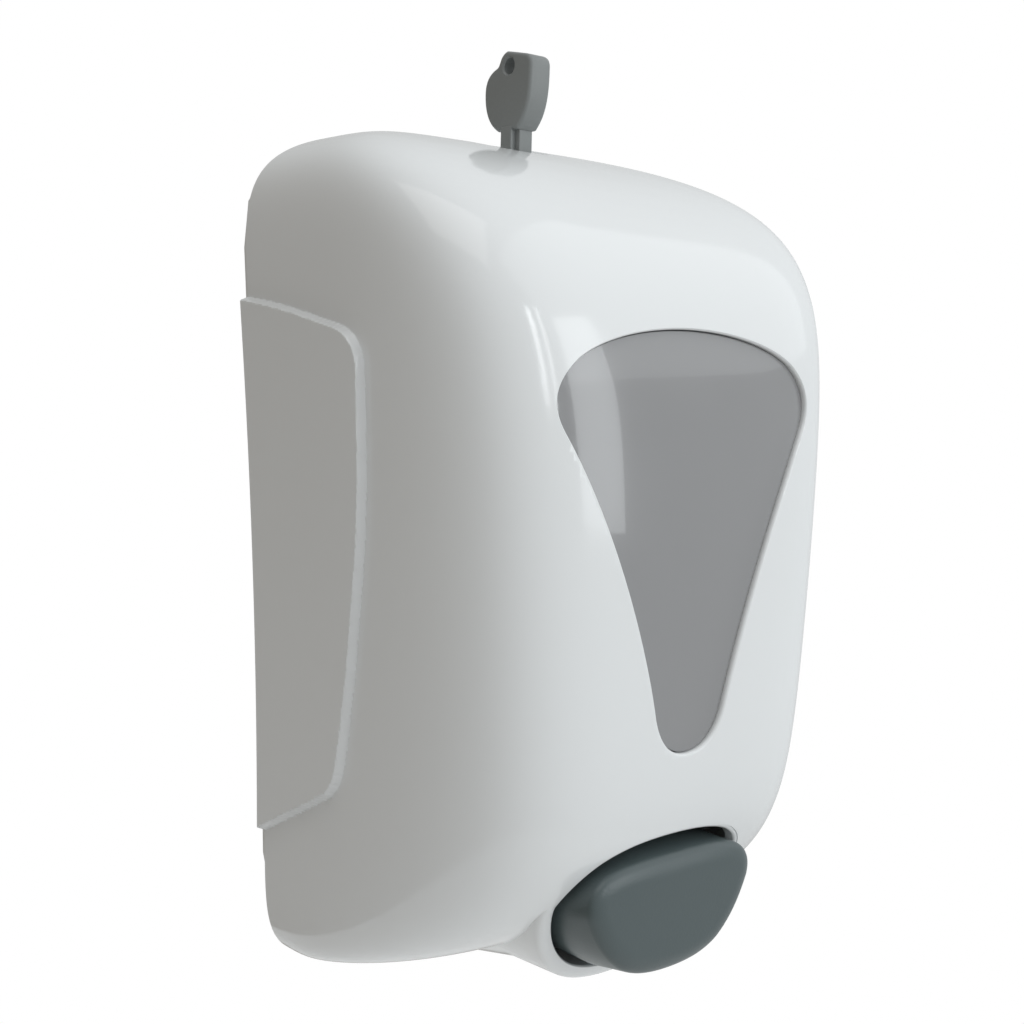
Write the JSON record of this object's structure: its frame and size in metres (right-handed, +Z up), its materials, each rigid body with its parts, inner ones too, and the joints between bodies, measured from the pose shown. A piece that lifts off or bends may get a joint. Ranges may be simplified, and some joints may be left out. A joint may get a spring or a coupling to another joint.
{
  "type": "wall mounted soap dispenser",
  "caption": "Wall mounted push-button liquid soap dispenser: hinged lockable cover with sight window, side panels and lift-out key over a refillable tank with piston pump.",
  "frame": {"origin": "on the wall plate's back face, on the middle line, half way up the body without its key", "axes": "+Z up, +Y into the wall, +X to the right of a person facing the dispenser; the front faces -Y"},
  "size_m": [0.1476, 0.0963, 0.2519],
  "materials": {
    "white_gloss": "polished moulded ABS",
    "white_matte": "plain moulded ABS",
    "smoked_clear": "smoked clear styrene",
    "slate_grey": "satin moulded",
    "key_grey": "moulded acetal",
    "milky": "milky polyethylene",
    "pump_white": "moulded polypropylene",
    "rubber": "matt",
    "silicone": "soft translucent",
    "steel": "bright stainless"
  },
  "bodies": {
    "plate": {"wall_plate": "white_matte", "latch_spring": "steel"},
    "cover": {"front_cover": "white_gloss", "window_pane": "smoked_clear", "hinge_pin_left": "steel", "hinge_pin_right": "steel"},
    "button": {"push_button": "slate_grey"},
    "plunger": {"lock_plunger": "white_matte"},
    "key_body": {"key": "key_grey"},
    "latch": {"latch_bolt": "white_matte"},
    "reservoir": {"tank": "milky", "pump_nut": "pump_white", "neck_gasket": "rubber", "inlet_cage": "pump_white", "inlet_valve": "silicone", "pump_body": "pump_white", "pump_cap": "pump_white", "pump_spring": "steel", "outlet_valve": "silicone", "outlet_nut": "pump_white"},
    "lid": {"tank_lid": "white_matte"},
    "piston_body": {"piston": "pump_white", "piston_seal": "rubber"}
  },
  "joints": [
    {"name": "cover_hinge", "type": "hinge", "parent": "plate", "child": "cover", "pos_m": [0, -0.0055, -0.111], "axis": [1, 0, 0], "range_deg": [0, 90]},
    {"name": "button_push", "type": "slide", "parent": "cover", "child": "button", "axis": [0, 1, 0], "range_m": [0, 0.009], "stiffness_N_per_m": 300, "springref_m": -0.004},
    {"name": "piston_stroke", "type": "slide", "parent": "reservoir", "child": "piston_body", "axis": [0, 1, 0], "range_m": [0, 0.009], "deforming": ["pump_spring"]},
    {"name": "key_press", "type": "slide", "parent": "cover", "child": "plunger", "axis": [0, 0, -1], "range_m": [0, 0.0026], "stiffness_N_per_m": 500, "springref_m": -0.002},
    {"name": "latch_slide", "type": "slide", "parent": "plate", "child": "latch", "axis": [0, 0, -1], "range_m": [0, 0.0026], "deforming": ["latch_spring"]},
    {"name": "key_lift", "type": "slide", "parent": "plunger", "child": "key_body", "axis": [0, 0, 1], "range_m": [0, 0.03]},
    {"name": "tank_lift", "type": "slide", "parent": "plate", "child": "reservoir", "axis": [0, 0, 1], "range_m": [0, 0.004]},
    {"name": "lid_lift", "type": "slide", "parent": "reservoir", "child": "lid", "axis": [0, 0, 1], "range_m": [0, 0.004]}
  ],
  "couplings": [
    {"joint": "piston_stroke", "follows": "button_push", "ratio": 1},
    {"joint": "latch_slide", "follows": "key_press", "ratio": 1}
  ]
}
